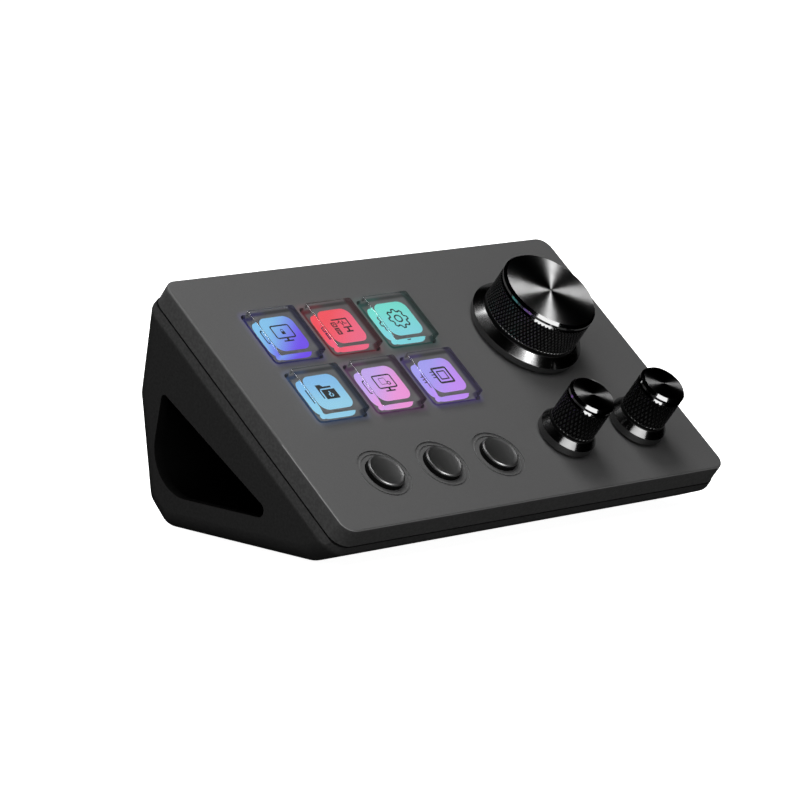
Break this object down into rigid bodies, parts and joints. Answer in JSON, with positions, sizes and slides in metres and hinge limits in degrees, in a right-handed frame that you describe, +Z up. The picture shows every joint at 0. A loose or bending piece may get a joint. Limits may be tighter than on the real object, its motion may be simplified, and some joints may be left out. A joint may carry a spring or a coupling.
{
  "type": "macro keypad",
  "caption": "Wedge-shaped desk controller: clear display keys, round push buttons and push-and-turn knobs on a sloping panel over a hollow stand with windowed sides.",
  "frame": {"origin": "on the desk, under the middle of the object's bounding box", "axes": "+X to the right along the wide side, +Y to the back, +Z up; the panel slopes up towards +Y at 37.5 degrees"},
  "size_m": [0.132, 0.0717, 0.0601],
  "materials": {
    "housing": "moulded, fine satin grain",
    "stand": "moulded, matt",
    "inner_black": "moulded, matt",
    "circuit_board": "solder mask on glass laminate",
    "clear_cap": "clear polycarbonate, polished",
    "display": "lit colour display behind glass",
    "button": "moulded, satin",
    "nylon": "moulded nylon",
    "knob_metal": "turned, black anodised",
    "steel": "machined",
    "socket_steel": "drawn, plated",
    "screw_steel": "black zinc",
    "rubber": "matt rubber"
  },
  "bodies": {
    "housing": {"top_housing": "housing", "base_shell": "stand", "inner_deck": "inner_black", "main_board": "circuit_board", "usb_board": "circuit_board", "usb_socket": "socket_steel", "usb_ribbon": "inner_black", "key_guide": "inner_black", "deck_screws": "screw_steel", "board_screws": "screw_steel", "stand_screws": "screw_steel", "rubber_feet": "rubber", "key_switch_1": "nylon", "key_switch_2": "nylon", "key_switch_3": "nylon", "key_switch_4": "nylon", "key_switch_5": "nylon", "key_switch_6": "nylon", "switch_body_1": "nylon", "switch_body_2": "nylon", "switch_body_3": "nylon", "big_encoder_body": "nylon", "left_encoder_body": "nylon", "right_encoder_body": "nylon"},
    "key_1": {"key_cap_1": "clear_cap", "key_display_1": "display", "key_carrier_1": "inner_black"},
    "key_2": {"key_cap_2": "clear_cap", "key_display_2": "display", "key_carrier_2": "inner_black"},
    "key_3": {"key_cap_3": "clear_cap", "key_display_3": "display", "key_carrier_3": "inner_black"},
    "key_4": {"key_cap_4": "clear_cap", "key_display_4": "display", "key_carrier_4": "inner_black"},
    "key_5": {"key_cap_5": "clear_cap", "key_display_5": "display", "key_carrier_5": "inner_black"},
    "key_6": {"key_cap_6": "clear_cap", "key_display_6": "display", "key_carrier_6": "inner_black"},
    "button_1": {"button_cap_1": "button", "switch_plunger_1": "nylon"},
    "button_2": {"button_cap_2": "button", "switch_plunger_2": "nylon"},
    "button_3": {"button_cap_3": "button", "switch_plunger_3": "nylon"},
    "big_push": {"big_encoder_pusher": "nylon"},
    "big_knob": {"big_encoder_shaft": "steel", "big_knob_core": "nylon", "big_knob_shell": "knob_metal"},
    "left_push": {"left_encoder_pusher": "nylon"},
    "left_knob": {"left_encoder_shaft": "steel", "left_knob_core": "nylon", "left_knob_shell": "knob_metal"},
    "right_push": {"right_encoder_pusher": "nylon"},
    "right_knob": {"right_encoder_shaft": "steel", "right_knob_core": "nylon", "right_knob_shell": "knob_metal"}
  },
  "joints": [
    {"name": "key_1_press", "type": "slide", "parent": "housing", "child": "key_1", "axis": [0, 0.6088, -0.7934], "range_m": [0, 0.001], "stiffness_N_per_m": 400, "springref_m": -0.0008},
    {"name": "key_2_press", "type": "slide", "parent": "housing", "child": "key_2", "axis": [0, 0.6088, -0.7934], "range_m": [0, 0.001], "stiffness_N_per_m": 400, "springref_m": -0.0008},
    {"name": "key_3_press", "type": "slide", "parent": "housing", "child": "key_3", "axis": [0, 0.6088, -0.7934], "range_m": [0, 0.001], "stiffness_N_per_m": 400, "springref_m": -0.0008},
    {"name": "key_4_press", "type": "slide", "parent": "housing", "child": "key_4", "axis": [0, 0.6088, -0.7934], "range_m": [0, 0.001], "stiffness_N_per_m": 400, "springref_m": -0.0008},
    {"name": "key_5_press", "type": "slide", "parent": "housing", "child": "key_5", "axis": [0, 0.6088, -0.7934], "range_m": [0, 0.001], "stiffness_N_per_m": 400, "springref_m": -0.0008},
    {"name": "key_6_press", "type": "slide", "parent": "housing", "child": "key_6", "axis": [0, 0.6088, -0.7934], "range_m": [0, 0.001], "stiffness_N_per_m": 400, "springref_m": -0.0008},
    {"name": "button_1_press", "type": "slide", "parent": "housing", "child": "button_1", "axis": [0, 0.6088, -0.7934], "range_m": [0, 0.0005], "stiffness_N_per_m": 1200, "springref_m": -0.0005},
    {"name": "button_2_press", "type": "slide", "parent": "housing", "child": "button_2", "axis": [0, 0.6088, -0.7934], "range_m": [0, 0.0005], "stiffness_N_per_m": 1200, "springref_m": -0.0005},
    {"name": "button_3_press", "type": "slide", "parent": "housing", "child": "button_3", "axis": [0, 0.6088, -0.7934], "range_m": [0, 0.0005], "stiffness_N_per_m": 1200, "springref_m": -0.0005},
    {"name": "big_knob_press", "type": "slide", "parent": "housing", "child": "big_push", "axis": [0, 0.6088, -0.7934], "range_m": [0, 0.0005], "stiffness_N_per_m": 2000, "springref_m": -0.0006},
    {"name": "big_knob_turn", "type": "hinge", "parent": "big_push", "child": "big_knob", "pos_m": [0.033, -0.00019, 0.04653], "axis": [0, -0.6088, 0.7934], "continuous": true},
    {"name": "left_knob_press", "type": "slide", "parent": "housing", "child": "left_push", "axis": [0, 0.6088, -0.7934], "range_m": [0, 0.0005], "stiffness_N_per_m": 2000, "springref_m": -0.0006},
    {"name": "left_knob_turn", "type": "hinge", "parent": "left_push", "child": "left_knob", "pos_m": [0.0203, -0.02684, 0.02608], "axis": [0, -0.6088, 0.7934], "continuous": true},
    {"name": "right_knob_press", "type": "slide", "parent": "housing", "child": "right_push", "axis": [0, 0.6088, -0.7934], "range_m": [0, 0.0005], "stiffness_N_per_m": 2000, "springref_m": -0.0006},
    {"name": "right_knob_turn", "type": "hinge", "parent": "right_push", "child": "right_knob", "pos_m": [0.0457, -0.02684, 0.02608], "axis": [0, -0.6088, 0.7934], "continuous": true}
  ]
}
